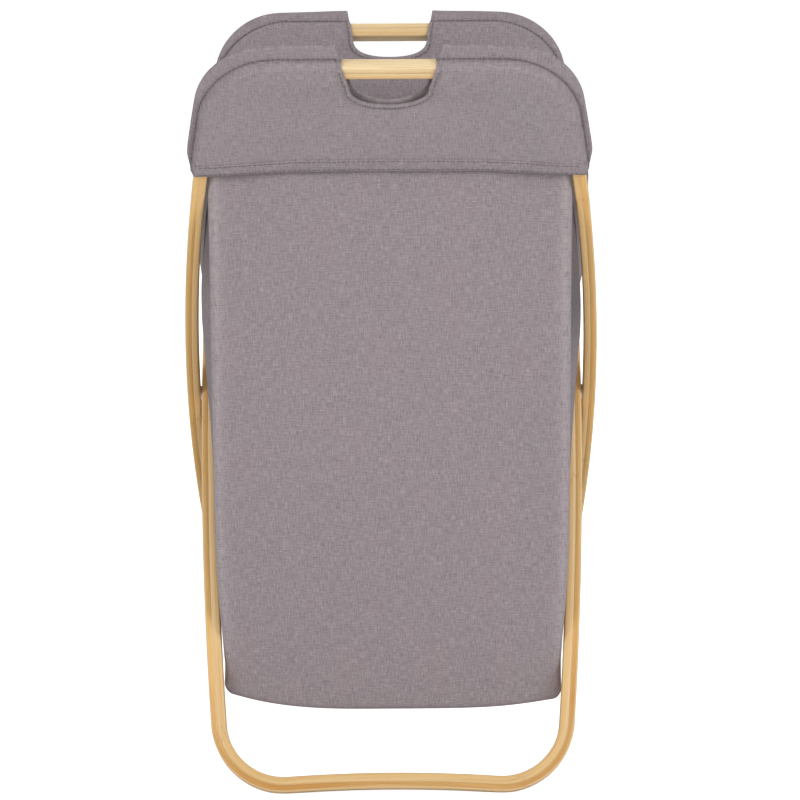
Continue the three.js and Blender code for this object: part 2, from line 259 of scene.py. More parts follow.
# Bamboo fibres along a strip. Place is (along, inset from the outer edge, across) in metres.
def makeFibreGroup():
    group, given, out = newGroup(
        "bambooFibre",
        [("Place", "NodeSocketVector", None)],
        [("Fibre", "NodeSocketFloat"), ("Patch", "NodeSocketFloat"), ("Knuckle", "NodeSocketFloat")],
    )
    place = given["Place"]
    coarse = stretched(group, place, (10, 800, 520), 4.0, 0.62)
    fine = stretched(group, place, (30, 5200, 2600), 2.0, 0.6)
    fibre = math(group, "ADD", math(group, "MULTIPLY", coarse, 0.65), math(group, "MULTIPLY", fine, 0.35))
    group.links.new(fibre, out["Fibre"])
    group.links.new(stretched(group, place, (7, 210, 90), 2.0), out["Patch"])
    split = addNode(group, "ShaderNodeSeparateXYZ", Vector=place).outputs
    wobble = math(group, "MULTIPLY", stretched(group, place, (3, 400, 200), 1.0), 0.05)
    run = math(group, "ADD", split[0], wobble)
    saw = math(group, "FRACT", math(group, "DIVIDE", run, 0.31))
    band = math(group, "ABSOLUTE", math(group, "SUBTRACT", saw, 0.5))
    group.links.new(ranged(group, band, 0.0, 0.009, 1.0, 0.0), out["Knuckle"])
    return group


def attributeOf(tree, name):
    return addNode(tree, "ShaderNodeAttribute", dict(attribute_name=name)).outputs["Vector"]


def useGroup(tree, group, **inputs):
    node = tree.nodes.new("ShaderNodeGroup")
    node.node_tree = group
    for key, value in inputs.items():
        if isinstance(value, bpy.types.NodeSocket):
            tree.links.new(value, node.inputs[key])
        else:
            node.inputs[key].default_value = value
    return node.outputs


# cloth colours: the first is painted light, mixed in where the cloth is painted lighter; shaded is painted
# shade
clothLook = dict(
    paintedLightTone=(0.43, 0.375, 0.388, 1), light=(0.46, 0.402, 0.416, 1), dark=(0.195, 0.160, 0.175, 1),
    warm=(0.322, 0.268, 0.284, 1), cool=(0.308, 0.268, 0.283, 1), shaded=(0.045, 0.032, 0.037, 1),
    threadRange=0.66, bump=0.00022, roughness=0.92,
)


def makeClothMaterial(name, weave, shadeGain=1.0):
    material = bpy.data.materials.new(name)
    tree, shader = newTree(material)
    threads = useGroup(tree, weave, Place=attributeOf(tree, "clothPlace"))
    drift = ranged(tree, threads["Tint"], 0.35, 0.65, 0.0, 1.0)
    base = mixColor(tree, drift, clothLook["warm"], clothLook["cool"])
    # painted light: the cloth is mixed towards a lighter colour where this attribute is set
    paintedLight = addNode(tree, "ShaderNodeAttribute", dict(attribute_name="paintedLight")).outputs["Fac"]
    base = mixColor(tree, paintedLight, base, clothLook["paintedLightTone"])
    lift = ranged(tree, threads["Shade"], 0.0, clothLook["threadRange"], 0.0, shadeGain)
    sink = ranged(tree, threads["Shade"], 0.0, -clothLook["threadRange"], 0.0, shadeGain)
    colour = mixColor(tree, lift, base, clothLook["light"])
    colour = mixColor(tree, sink, colour, clothLook["dark"])
    depthShade = addNode(tree, "ShaderNodeAttribute", dict(attribute_name="foldShade")).outputs["Fac"]
    colour = mixColor(tree, depthShade, colour, clothLook["shaded"])
    tree.links.new(colour, shader.inputs["Base Color"])
    shader.inputs["Roughness"].default_value = clothLook["roughness"]
    shader.inputs["Specular IOR Level"].default_value = 0.25
    shader.inputs["Sheen Weight"].default_value = 0.12
    shader.inputs["Sheen Roughness"].default_value = 0.6
    bump = addNode(tree, "ShaderNodeBump", Height=threads["Height"], Strength=0.55,
                   Distance=clothLook["bump"])
    tree.links.new(bump.outputs[0], shader.inputs["Normal"])
    return material


bambooLook = dict(
    innerPly=(0.78, 0.500, 0.210, 1), outerPly=(0.86, 0.505, 0.165, 1), footPlyAndShade=(0.61, 0.300, 0.070, 1),
    # face and bar are painted light: paler colours for the strip's outer edge face and for the top bar
    # stretch that topStretch marks
    face=(0.90, 0.665, 0.385, 1), bar=(1.0, 0.80, 0.49, 1),
    # footStretch: from and to along the strip, where the foot's darker outer ply fades in and out, partly
    # its own tone and partly painted shade on the foot's underside
    footStretch=(1.00, 1.10, 1.47, 1.57), topStretch=(0.36, 0.46),
    glue=(0.40, 0.20, 0.065, 1), pale=(0.86, 0.63, 0.29, 1), deep=(0.54, 0.27, 0.075, 1), glueHalf=0.00026,
)


def makeBambooMaterial(fibreGroup):
    material = bpy.data.materials.new("laminatedBamboo")
    tree, shader = newTree(material)
    place = attributeOf(tree, "stripPlace")
    fibre = useGroup(tree, fibreGroup, Place=place)
    inset = addNode(tree, "ShaderNodeSeparateXYZ", Vector=place).outputs[1]
    joint = loopSizes["plyJoint"]
    outside = ranged(tree, inset, 0.0004, 0.0016, 1.0, 0.0)
    along = addNode(tree, "ShaderNodeSeparateXYZ", Vector=place).outputs[0]
    # this marks the top bar, where painted light brightens the strip
    topBar = ranged(tree, along, *bambooLook["topStretch"], 0.8, 0.0)
    # painted light: the outer edge face and the top bar take the paler inner ply colour
    paintedPaleness = math(tree, "MAXIMUM", outside, topBar)
    plies = math(tree, "MAXIMUM", ranged(tree, inset, joint - 0.0004, joint + 0.0004, 0.0, 1.0), paintedPaleness)
    # the foot's outer ply is darker: partly its own tone, partly painted shade on its underside
    fadeIn = ranged(tree, along, *bambooLook["footStretch"][:2], 0.0, 1.0)
    fadeOut = ranged(tree, along, *bambooLook["footStretch"][2:], 1.0, 0.0)
    foot = math(tree, "MULTIPLY", fadeIn, fadeOut)
    outerPly = mixColor(tree, foot, bambooLook["outerPly"], bambooLook["footPlyAndShade"])
    colour = mixColor(tree, plies, outerPly, bambooLook["innerPly"])
    # painted light: the strip's outer edge face is painted paler
    colour = mixColor(tree, math(tree, "MULTIPLY", outside, 0.9), colour, bambooLook["face"])
    colour = mixColor(tree, ranged(tree, fibre["Patch"], 0.42, 0.72, 0.0, 0.5), colour, bambooLook["pale"])
    # painted light on the top bar, strongest on its upper ply
    upper = ranged(tree, inset, joint - 0.0015, joint + 0.0025, 0.80, 0.25)
    colour = mixColor(tree, math(tree, "MULTIPLY", topBar, upper), colour, bambooLook["bar"])
    colour = mixColor(tree, ranged(tree, fibre["Fibre"], 0.5, 0.28, 0.0, 0.75), colour, bambooLook["deep"])
    colour = mixColor(tree, ranged(tree, fibre["Fibre"], 0.52, 0.72, 0.0, 0.6), colour, bambooLook["pale"])
    colour = mixColor(tree, math(tree, "MULTIPLY", fibre["Knuckle"], 0.4), colour, bambooLook["deep"])
    offJoint = math(tree, "ABSOLUTE", math(tree, "SUBTRACT", inset, joint))
    glue = ranged(tree, offJoint, bambooLook["glueHalf"] * 0.5, bambooLook["glueHalf"] * 1.6, 0.16, 0.0)
    glue = math(tree, "MULTIPLY", glue, math(tree, "SUBTRACT", 1.0, math(tree, "MULTIPLY", topBar, 0.7)))
    colour = mixColor(tree, glue, colour, bambooLook["glue"])
    tree.links.new(colour, shader.inputs["Base Color"])
    tree.links.new(ranged(tree, fibre["Fibre"], 0.2, 0.8, 0.5, 0.36), shader.inputs["Roughness"])
    shader.inputs["Coat Weight"].default_value = 0.18
    shader.inputs["Coat Roughness"].default_value = 0.3
    bump = addNode(tree, "ShaderNodeBump", Height=fibre["Fibre"], Strength=0.35, Distance=0.00012)
    tree.links.new(bump.outputs[0], shader.inputs["Normal"])
    return material


def makePlainMaterial(name, color, metallic, roughLow, roughHigh, scale, bumpDepth):
    material = bpy.data.materials.new(name)
    tree, shader = newTree(material)
    place = addNode(tree, "ShaderNodeTexCoord").outputs["Object"]
    grain = stretched(tree, place, (scale, scale, scale), 3.0, 0.6)
    dull = tuple(channel * 0.82 for channel in color[:3]) + (1,)
    tree.links.new(mixColor(tree, grain, dull, color), shader.inputs["Base Color"])
    tree.links.new(ranged(tree, grain, 0.3, 0.7, roughLow, roughHigh), shader.inputs["Roughness"])
    shader.inputs["Metallic"].default_value = metallic
    bump = addNode(tree, "ShaderNodeBump", Height=grain, Strength=0.3, Distance=bumpDepth)
    tree.links.new(bump.outputs[0], shader.inputs["Normal"])
    return material


# What every piece goes through once its mesh is drawn.

def finishPiece(bm, name, material, body, matrix=None, flip=True):
    if flip:
        bmesh.ops.recalc_face_normals(bm, faces=bm.faces)
    if matrix is not None:
        bmesh.ops.transform(bm, matrix=matrix, verts=bm.verts)
    for face in bm.faces:
        face.smooth = True
    mesh = bpy.data.meshes.new(name)
    bm.to_mesh(mesh)
    bm.free()
    piece = bpy.data.objects.new(name, mesh)
    scene.collection.objects.link(piece)
    mesh.materials.append(material)
    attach(piece, body)
    return piece


def addSolidify(piece, thickness):
    wall = piece.modifiers.new("clothThickness", "SOLIDIFY")
    wall.thickness = thickness
    wall.offset = 0.0


def addSubdivision(piece, levels=1):
    subdivision = piece.modifiers.new("softening", "SUBSURF")
    subdivision.levels = levels
    subdivision.render_levels = levels


def applyModifiers(piece):
    graph = bpy.context.evaluated_depsgraph_get()
    shaped = bpy.data.meshes.new_from_object(piece.evaluated_get(graph))
    piece.modifiers.clear()
    piece.data = shaped


# The two bent loops, drawn in their own plane.

def sideCenter(loop):
    return Vector((loop["halfWidth"] - loop["sideRadius"], 0))


def topCorner(loop, sideOffset, reach, radius):
    side = sideCenter(loop)
    rise = reach - radius
    return Vector((side.x + sqrt((loop["sideRadius"] + sideOffset - radius) ** 2 - rise ** 2), rise))


def archCenter():
    return Vector((0, -loopSizes["footReach"] - loopSizes["footArchRadius"]))


# Corner arc tangent to the side arc and to the arched foot bar.
def footCorner(loop):
    side, radius = sideCenter(loop), loopSizes["cornerRadius"]
    across = archCenter() - side
    distance = across.length
    toSide, toArch = loop["sideRadius"] - radius, loopSizes["footArchRadius"] + radius
    along = (toSide ** 2 - toArch ** 2 + distance ** 2) / (2 * distance)
    off = sqrt(toSide ** 2 - along ** 2)
    unit = across / distance
    return side + Vector((along * unit.x - off * unit.y, along * unit.y + off * unit.x))


# The route of the strip as arcs (centre, radius, turn, steps) from the right side, once round to the left.
def loopRoute(loop):
    side, foot, arch = sideCenter(loop), footCorner(loop), archCenter()
    top = topCorner(loop, 0, topReach, loopSizes["cornerRadius"])
    start = asin(loopSizes["startReach"] / loop["sideRadius"])
    topAngle = atan2(top.y, top.x - side.x)
    footAngle = atan2(foot.y, foot.x - side.x)
    archEnd = atan2(foot.y - arch.y, foot.x - arch.x)
    radius, sideRadius = loopSizes["cornerRadius"], loop["sideRadius"]
    return start, [
        (side, sideRadius, topAngle - start, 3),
        (top, radius, pi / 2 - topAngle, 26),
        (None, 2 * top.x, 0, 8),
        (Vector((-top.x, top.y)), radius, pi / 2 - topAngle, 26),
        (Vector((-side.x, 0)), sideRadius, topAngle - footAngle, 60),
        (Vector((-foot.x, foot.y)), radius, footAngle + pi - archEnd, 30),
        (arch, loopSizes["footArchRadius"], 2 * archEnd - pi, 20),
        (foot, radius, footAngle + pi - archEnd, 30),
        (side, sideRadius, start - footAngle, 50),
    ]


# Strip section with rounded edges and a shallow groove where the two plies meet.
def stripSection(bm, start, side, sideRadius, width):
    joint, groove = loopSizes["plyJoint"], loopSizes["plyGroove"]
    half = halfStrip
    outline = [
        (0, -half), (0, half), (joint - groove, half), (joint, half - groove), (joint + groove, half),
        (width, half), (width, -half), (joint + groove, -half), (joint, groove - half),
        (joint - groove, -half),
    ]
    place = bm.verts.layers.float_vector.new("stripPlace")
    verts = []
    for inset, across in outline:
        reach = sideRadius - inset
        verts.append(bm.verts.new((side.x + reach * cos(start), reach * sin(start), across)))
    bm.faces.new(verts)
    corners = [verts[i] for i in (0, 1, 5, 6)]
    bmesh.ops.bevel(bm, geom=corners, affect="VERTICES", offset=loopSizes["edgeRound"], segments=3,
                    profile=0.5, material=-1, clamp_overlap=True)
    for vert in bm.verts:
        inset = sideRadius - hypot(vert.co.x - side.x, vert.co.y)
        vert[place] = (0, inset, vert.co.z)
    bmesh.ops.delete(bm, geom=bm.faces[:], context="FACES_ONLY")
    return place


def sweepStrip(loop):
    bm = bmesh.new()
    start, route = loopRoute(loop)
    place = stripSection(bm, start, sideCenter(loop), loop["sideRadius"], loop["width"])
    ring = bm.verts[:] + bm.edges[:]
    travelled = 0.0
    for center, radius, turn, steps in route:
        length = radius if center is None else abs(turn) * radius
        for _ in range(steps):
            shift = (-length / steps, 0, 0) if center is None else (0, 0, 0)
            middle = (0, 0, 0) if center is None else (center.x, center.y, 0)
            made = bmesh.ops.spin(bm, geom=ring, cent=middle, axis=(0, 0, 1), dvec=shift,
                                  angle=turn / steps, steps=1)
            ring = made["geom_last"]
            travelled += length / steps
            for vert in ring:
                if isinstance(vert, bmesh.types.BMVert):
                    vert[place] = (travelled, vert[place].y, vert[place].z)
    bmesh.ops.remove_doubles(bm, verts=bm.verts, dist=2e-6)
    return bm


pivotSizes = dict(
    headRadius=0.0064, headThickness=0.0018, headSoftness=0.0005, recess=0.0023, boreGap=0.0004,
    socket=0.0021, socketDepth=0.0013, cutterDepth=0.01, shank=dict(screw=0.0023, sleeve_nut=0.0036),
)


# Round recess for a flush head in both legs, cut from the named face of the leg.
def recessCutter(loop, fromOutside):
    bm = bmesh.new()
    depth = pivotSizes["cutterDepth"]
    # on the inner face the head sits where a plain strip's face would be
    seat = pivotSizes["recess"]
    if not fromOutside:
        seat += loop["width"] - loopSizes["stripWidth"]
    face = loop["halfWidth"] if fromOutside else loop["halfWidth"] - loop["width"]
    inward = -1 if fromOutside else 1
    center = face + inward * (seat - depth / 2)
    for sign in (1, -1):
        matrix = Matrix.Translation((sign * center, 0, pivot.z)) @ Matrix.Rotation(pi / 2, 4, "Y")
        radius = pivotSizes["headRadius"] + pivotSizes["boreGap"]
        bmesh.ops.create_cone(bm, cap_ends=True, segments=40, radius1=radius, radius2=radius,
                              depth=depth, matrix=matrix)
    mesh = bpy.data.meshes.new("recessCutter")
    bm.to_mesh(mesh)
    bm.free()
    cutter = bpy.data.objects.new("recessCutter", mesh)
    scene.collection.objects.link(cutter)
    return cutter


def subtract(piece, cutter):
    cut = piece.modifiers.new("recess", "BOOLEAN")
    cut.operation = "DIFFERENCE"
    cut.solver = "EXACT"
    cut.object = cutter
    applyModifiers(piece)
    bpy.data.objects.remove(cutter)


def makeLoop(key, bamboo):
    loop = loops[key]
    bm = sweepStrip(loop)
    piece = finishPiece(bm, key + "FrameLoop", bamboo, loop["body"], loop["matrix"])
    subtract(piece, recessCutter(loop, key == "outer"))
    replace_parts(piece, loop["node"])
    return piece


# A turned part: profile points are (distance along X, radius), spun round the pivot line.
def turnedPart(profile):
    bm = bmesh.new()
    verts = [bm.verts.new((x, 0, radius)) for x, radius in profile]
    for a, b in zip(verts, verts[1:]):
        bm.edges.new((a, b))
    bmesh.ops.spin(bm, geom=bm.verts[:] + bm.edges[:], cent=(0, 0, 0), axis=(1, 0, 0), dvec=(0, 0, 0),
                   angle=2 * pi, steps=36, use_merge=True)
    bmesh.ops.remove_doubles(bm, verts=bm.verts, dist=1e-6)
    return bm


def makeFastener(side, kind, steel):
    sign = 1 if side == "right" else -1
    low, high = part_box(side + "_pivot_" + kind)
    inner, outer = sorted((abs(low.x), abs(high.x)))
    head, thickness, socket = pivotSizes["headRadius"], pivotSizes["headThickness"], pivotSizes["socket"]
    shank, soft = pivotSizes["shank"][kind], pivotSizes["headSoftness"]
    socketDepth = pivotSizes["socketDepth"]
    # drawn with the head towards +X, then turned to face the way the real head faces
    length = outer - inner
    profile = [
        (0, 0), (0, shank - 0.0004), (0.0004, shank), (length - thickness, shank),
        (length - thickness, head - soft), (length - thickness + soft, head), (length - soft, head),
        (length, head - soft), (length, socket), (length - socketDepth, socket * 0.95),
        (length - socketDepth, 0),
    ]
    bm = turnedPart(profile)
    # the screw's head faces out, the sleeve nut's faces in
    foot, facesOut = (inner, True) if kind == "screw" else (outer, False)
    turn = Matrix.Rotation(0 if (sign > 0) == facesOut else pi, 4, "Z")
    place = Matrix.Translation((sign * foot, 0, pivot.z)) @ turn
    name = side + ("PivotScrew" if kind == "screw" else "PivotSleeveNut")
    piece = finishPiece(bm, name, steel, "pivots", place)
    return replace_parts(piece, side + "_pivot_" + kind)


# The flaps: two layers sewn together past the loop, open at the hem.

flapSizes = dict(
    rimReach=dict(front=0.3915, rear=0.3885), rimRadius=0.066, rimEnd=0.2870,
    rimSideOffset=dict(front=0.0086, rear=0.0050), rimFlare=0.0016, rimGap=0.0008,
    seamTop=0.0030, seamSide=0.0022, crease=0.0013, clearance=0.0009,
    hemReach=0.2612, hemArch=0.0024, hemOffset=0.0022,
    bandHeight=0.0104, bandSwell=0.0018, bandPuff=0.0007, bandOffset=0.0016, bandLift=0.0008,
    cutReach=dict(frontOuter=0.3348, frontInner=0.3370, rearOuter=0.3385, rearInner=0.3415),
    cutHalf=dict(front=0.0344, rear=0.0362), cutSlope=dict(front=0.30, rear=0.187),
    cutPower=dict(front=2.2, rear=3.0), cutRise=0.018, cutDroop=0.0060,
    sag={1: 0.0034, -1: 0.0042}, hemPull={1: 0.0048, -1: 0.0066},
    bindingWidth=0.0042, bindingOverTop=0.004, bindingLift=0.0009,
    cloth=0.0011, bandCloth=0.0009, bindingCloth=0.0010, cell=0.0019, trimCell=0.0024,
    edgeStep=0.0026, cornerStep=0.0028, rimWave=0.0011, ripples=(0.0009, 0.00028),
    seamShade=0.42, innerShade=0.30, outerPaintedLight=0.22,
)


# Distance outside (+) or inside (-) the loop's outer edge, over the loop's upper half.
def edgeDistance(loop, x, reach):
    side, corner, radius = sideCenter(loop), loop["topCorner"], loopSizes["cornerRadius"]
    x = abs(x)
    towards = Vector((x - corner.x, reach - corner.y))
    limit = Vector((corner.x - side.x, corner.y)).normalized()
    beside = hypot(x - side.x, reach) - loop["sideRadius"]
    if x < corner.x:
        return max(reach - topReach, beside)
    if reach > corner.y or (towards.y * limit.x - towards.x * limit.y) > 0:
        return towards.length - radius
    return beside


def hemLine(x, span=0.19):
    return flapSizes["hemReach"] + flapSizes["hemArch"] * (1 - min(abs(x) / span, 1) ** 2)


def bandHeight(x):
    return flapSizes["bandHeight"] + flapSizes["bandSwell"] * (1 - min(abs(x) / 0.18, 1) ** 2)


# Half width that clears a leg's inner edge at a reach from the pivot.
def legInside(loop, reach):
    side = sideCenter(loop)
    return side.x + sqrt(loop["sideRadius"] ** 2 - reach ** 2) - loop["width"]


# How far outside the loop's edge the two layers come together.
def seamOffset(reach):
    return mix(flapSizes["seamSide"], flapSizes["seamTop"], smoothStep(0.30, 0.36, reach))


# How far the cloth lies from the seam plane. Side is +1 for the outer layer and -1 for the inner one.
def layerDepth(loop, x, reach, side):
    sizes = flapSizes
    d = edgeDistance(loop, x, reach)
    seam = seamOffset(reach)
    depth = mix(halfStrip + sizes["clearance"], sizes["rimGap"], smoothStep(-0.0007, seam, d))
    belowBar = topReach - loop["width"] - reach
    fromLeg = legInside(loop, reach) - abs(x)
    inside = smoothStep(0.001, 0.030, belowBar) * smoothStep(-0.004, 0.085, fromLeg)
    nearHem = 1 - smoothStep(0.0, 0.055, reach - hemLine(x))
    depth -= inside * mix(sizes["sag"][side], sizes["hemPull"][side], nearHem)
    if side < 0:
        # below its cut-out the inner layer hangs closer to the outer one
        nearCut = smoothStep(0.275, 0.332, reach) * smoothStep(0.0, 0.018, belowBar)
        depth -= sizes["cutDroop"] * nearCut * exp(-(x / 0.028) ** 2)
    # a soft crease along the seam
    depth -= sizes["crease"] * exp(-((d - seam - 0.0011) / 0.0013) ** 2)
    ripple = noise.noise(Vector((x * 26, reach * 26, 3.1 * side)))
    fine = noise.noise(Vector((x * 75, reach * 60, 7.7 * side)))
    depth += inside * (sizes["ripples"][0] * ripple + sizes["ripples"][1] * fine)
    return depth


# The flat rim past the seam waves a little, both layers together.
def rimWave(loop, x, reach):
    seam = seamOffset(reach)
    beyond = smoothStep(seam, seam + 0.008, edgeDistance(loop, x, reach))
    return beyond * flapSizes["rimWave"] * noise.noise(Vector((x * 30, reach * 30, 11.0)))


def arcPoints(center, radius, start, end, step):
    count = max(2, int(abs(end - start) * radius / step))
    return [Vector((center.x + radius * cos(start + (end - start) * i / count),
                    center.y + radius * sin(start + (end - start) * i / count))) for i in range(count + 1)]


def linePoints(a, b, step):
    count = max(1, int((b - a).length / step))
    return [a.lerp(b, i / count) for i in range(count + 1)]


# Right half of the cut-out's edge from its bottom middle up to the given reach, moved outwards by margin.
def cutoutPoints(layer, margin, topEdge):
    sizes = flapSizes
    end = "front" if layer.startswith("front") else "rear"
    half, rise, power = sizes["cutHalf"][end] + margin, sizes["cutRise"] + margin, sizes["cutPower"][end]
    shoulder = sizes["cutReach"][layer] + sizes["cutRise"]
    points = []
    for i in range(29):
        turn = pi / 2 * i / 28
        points.append(Vector((half * sin(turn) ** (2 / power), shoulder - rise * cos(turn) ** (2 / power))))
    points[0].x = 0
    points[-1].y = shoulder
    top = Vector((half + sizes["cutSlope"][end] * (topEdge - shoulder), topEdge))
    points += linePoints(points[-1], top, sizes["edgeStep"])[1:]
    return points


def flapOutline(loop, end, layer):
    sizes = flapSizes
    offset, step, rimReach = sizes["rimSideOffset"][end], sizes["edgeStep"], sizes["rimReach"][end]
    side = sideCenter(loop)
    corner = topCorner(loop, offset, rimReach, sizes["rimRadius"])
    sideRadius = loop["sideRadius"] + offset
    angle = atan2(corner.y, corner.x - side.x)
    low, rimEnd = sizes["hemReach"], sizes["rimEnd"]
    tight = side.x + sqrt(loop["sideRadius"] ** 2 - low ** 2) + sizes["hemOffset"]
    points = []
    for i in range(11):
        reach = mix(low, rimEnd, i / 10)
        edge = side.x + sqrt(loop["sideRadius"] ** 2 - reach ** 2)
        beside = mix(sizes["hemOffset"], offset, smoothStep(low - 0.004, rimEnd, reach))
        points.append(Vector((edge + beside, reach)))
    points += arcPoints(side, sideRadius, asin((rimEnd + 0.003) / sideRadius), angle, step)
    points += arcPoints(corner, sizes["rimRadius"], angle, pi / 2, sizes["cornerStep"])[1:]
    flare = sizes["rimFlare"]
    cut = cutoutPoints(layer, 0, rimReach + flare)
    along = linePoints(points[-1], Vector((cut[-1].x, rimReach)), step)[1:]
    points += [Vector((p.x, p.y + flare * (i + 1) / len(along))) for i, p in enumerate(along)]
    points += cut[::-1][1:]
    left = [Vector((-p.x, p.y)) for p in points[:-1]][::-1]
    hem = [Vector((x * tight / 40, hemLine(x * tight / 40))) for x in range(-39, 40)]
    return points + left + hem


# A flat ngon cut into a grid of small cells, so that a height can be given to each point.
def clothPlate(outline, cell):
    bm = bmesh.new()
    bm.faces.new([bm.verts.new((p.x, p.y, 0)) for p in outline])
    for axis in (0, 1):
        low = min(p[axis] for p in outline)
        high = max(p[axis] for p in outline)
        normal = (1, 0, 0) if axis == 0 else (0, 1, 0)
        count = int((high - low) / cell)
        for i in range(1, count):
            level = low + (high - low) * i / count
            point = (level, 0, 0) if axis == 0 else (0, level, 0)
            bmesh.ops.bisect_plane(bm, geom=bm.verts[:] + bm.edges[:] + bm.faces[:], dist=2e-5,
                                   plane_co=point, plane_no=normal)
    place = bm.verts.layers.float_vector.new("clothPlace")
    bm.verts.layers.float.new("foldShade")
    for vert in bm.verts:
        vert[place] = (vert.co.x, vert.co.y, 0)
    return bm


def faceUp(bm):
    for face in bm.faces:
        if face.normal.z < 0:
            face.normal_flip()


def flapMatrix(loop):
    turn = Matrix.Identity(4) if loop["tilt"] > 0 else Matrix.Rotation(pi, 4, "Y")
    return loop["matrix"] @ turn


sideWord = {1: "Outer", -1: "Inner"}


def makeFlapLayer(end, loop, side, cloth):
    bm = clothPlate(flapOutline(loop, end, end + sideWord[side]), flapSizes["cell"])
    shade = bm.verts.layers.float["foldShade"]
    light = bm.verts.layers.float.new("paintedLight")
    for vert in bm.verts:
        x, reach = vert.co.x, vert.co.y
        # painted light: the outer layer is painted a little lighter all over
        vert[light] = flapSizes["outerPaintedLight"] if side > 0 else 0.0
        pastSeam = edgeDistance(loop, x, reach) - seamOffset(reach)
        vert.co.z = side * layerDepth(loop, x, reach, side) + rimWave(loop, x, reach)
        vert[shade] = flapSizes["seamShade"] * exp(-((pastSeam - 0.0008) / 0.0011) ** 2)
        if side < 0:
            lowShade = flapSizes["innerShade"] * (1 - smoothStep(0.285, 0.335, reach))
            vert[shade] = max(vert[shade], lowShade)
    if side > 0:
        faceUp(bm)
    name = end + "Flap" + sideWord[side] + "Layer"
    piece = finishPiece(bm, name, cloth, loop["body"], flapMatrix(loop), flip=False)
    addSolidify(piece, flapSizes["cloth"])
    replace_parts(piece, end + "_flap_" + sideWord[side].lower() + "_layer")
    return piece


# Folded band sewn along the outer layer's lower edge.
def makeHemBand(end, loop, cloth):
    sizes = flapSizes
    span = sideCenter(loop).x + sqrt(loop["sideRadius"] ** 2 - sizes["hemReach"] ** 2) + sizes["bandOffset"]
    xs = [span * i / 80 for i in range(-80, 81)]
    lower = [Vector((x, hemLine(x) - 0.0004)) for x in xs]
    upper = [Vector((x, hemLine(x) + bandHeight(x))) for x in xs[::-1]]
    bm = clothPlate(lower + upper, sizes["trimCell"])
    for vert in bm.verts:
        x, reach = vert.co.x, vert.co.y
        up = (reach - hemLine(x)) / bandHeight(x)
        puff = sizes["bandPuff"] * (1 - (2 * min(max(up, 0), 1) - 1) ** 4)
        vert.co.z = layerDepth(loop, x, reach, 1) + sizes["bandLift"] + puff
    faceUp(bm)
    name = end + "FlapHemBand"
    piece = finishPiece(bm, name, cloth, loop["body"], flapMatrix(loop), flip=False)
    addSolidify(piece, sizes["bandCloth"])
    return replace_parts(piece, end + "_flap_hem_band")


# Narrow turned edge round the cut-out, on one layer.
def makeBinding(end, loop, side, cloth):
    sizes = flapSizes
    reach, layer = topReach + sizes["bindingOverTop"], end + sideWord[side]
    inner = cutoutPoints(layer, 0.0, reach)
    outer = cutoutPoints(layer, sizes["bindingWidth"], reach)
    ring = [Vector((-p.x, p.y)) for p in inner[1:]][::-1] + inner + outer[::-1]
    ring += [Vector((-p.x, p.y)) for p in outer[1:]]
    bm = clothPlate(ring, sizes["trimCell"])
    for vert in bm.verts:
        vert.co.z = side * (layerDepth(loop, vert.co.x, vert.co.y, side) + sizes["bindingLift"])
    faceUp(bm)
    word = sideWord[side]
    name = end + "Handle" + word + "Binding"
    piece = finishPiece(bm, name, cloth, loop["body"], flapMatrix(loop), flip=False)
    addSolidify(piece, sizes["bindingCloth"])
    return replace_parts(piece, end + "_handle_" + word.lower() + "_binding")


stitchSizes = dict(
    length=0.0032, gap=0.0012, radius=0.00036, flatness=0.7,
    pastSeam=0.0036, overBar=0.0012, besideCut=0.011, pastCut=0.0033, hemRows=(0.14, 0.86), hemSpan=0.168,
)


# A row of short threads along a list of points, each lying on the cloth with the given normal.
def addStitchRow(bm, points, normals, placeLayer):
    length, radius = stitchSizes["length"], stitchSizes["radius"]
    pitch = length + stitchSizes["gap"]
    shape = Matrix.Diagonal((length / 2, radius, radius * stitchSizes["flatness"], 1))
    lengthways = shape @ Matrix.Rotation(pi / 2, 4, "Y")
    carried = 0.0
    for a, b, up in zip(points, points[1:], normals):
        run = (b - a).length
        at = carried
        while at < run:
            middle = a.lerp(b, at / run)
            forward = (b - a).normalized()
            sideways = forward.cross(up).normalized()
            turn = Matrix((forward, sideways, up)).transposed().to_4x4()
            matrix = Matrix.Translation(middle) @ turn @ lengthways
            made = bmesh.ops.create_uvsphere(bm, u_segments=6, v_segments=4, radius=1, matrix=matrix)
            for vert in made["verts"]:
                vert[placeLayer] = (vert.co.x, vert.co.z, 0)
            at += pitch
        carried = at - run


def onLayer(loop, x, reach, side, lift):
    z = side * (layerDepth(loop, x, reach, side) + lift)
    return Vector((x, reach, z + rimWave(loop, x, reach)))


# Right half of the stitch line just outside the loop, from the hem's end to the cut-out.
def seamLine(end, loop):
    offset, step = stitchSizes["pastSeam"], 0.004
    cornerRadius = loopSizes["cornerRadius"] + offset
    corner = topCorner(loop, offset, topReach + offset + stitchSizes["overBar"], cornerRadius)
    side = sideCenter(loop)
    sideRadius = loop["sideRadius"] + offset
    angle = atan2(corner.y, corner.x - side.x)
    start = asin((flapSizes["rimEnd"] + 0.004) / sideRadius)
    points = arcPoints(side, sideRadius, start, angle, step)
    points += arcPoints(corner, cornerRadius, angle, pi / 2, 0.003)[1:]
    last = Vector((flapSizes["cutHalf"][end] + stitchSizes["besideCut"], points[-1].y))
    return points + linePoints(points[-1], last, step)[1:]


